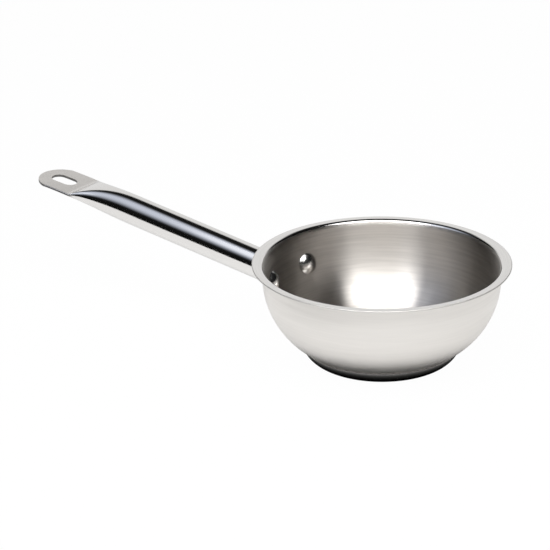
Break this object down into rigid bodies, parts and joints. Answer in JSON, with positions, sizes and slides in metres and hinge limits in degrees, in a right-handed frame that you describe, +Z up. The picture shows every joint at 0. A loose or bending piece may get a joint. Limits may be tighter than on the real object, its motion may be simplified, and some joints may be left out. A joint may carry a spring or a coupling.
{
  "type": "deep saute pan",
  "caption": "Small deep saute pan with a rounded steel wall, flared pouring lip, capped sandwich base and a riveted tube handle pressed flat into a slotted hanging tab.",
  "frame": {"origin": "centre of the flat underside of the base, on the table", "axes": "+Z up along the bowl's axis, -X along the handle away from the bowl, +Y to the left of someone who looks along +X"},
  "size_m": [0.3511, 0.16, 0.0691],
  "materials": {
    "bowl_steel": "satin outside, brushed round and round inside",
    "core_aluminium": "plain, sealed in the base",
    "cap_steel": "satin",
    "bracket_steel": "satin",
    "tube_steel": "polished stainless steel, brushed on the flat tab",
    "rivet_steel": "polished stainless steel"
  },
  "bodies": {
    "root": {"pan_body": "bowl_steel", "core_disc": "core_aluminium", "base_cap": "cap_steel", "handle_bracket": "bracket_steel", "handle_tube": "tube_steel", "rivet_near": "rivet_steel", "rivet_far": "rivet_steel"}
  },
  "joints": []
}
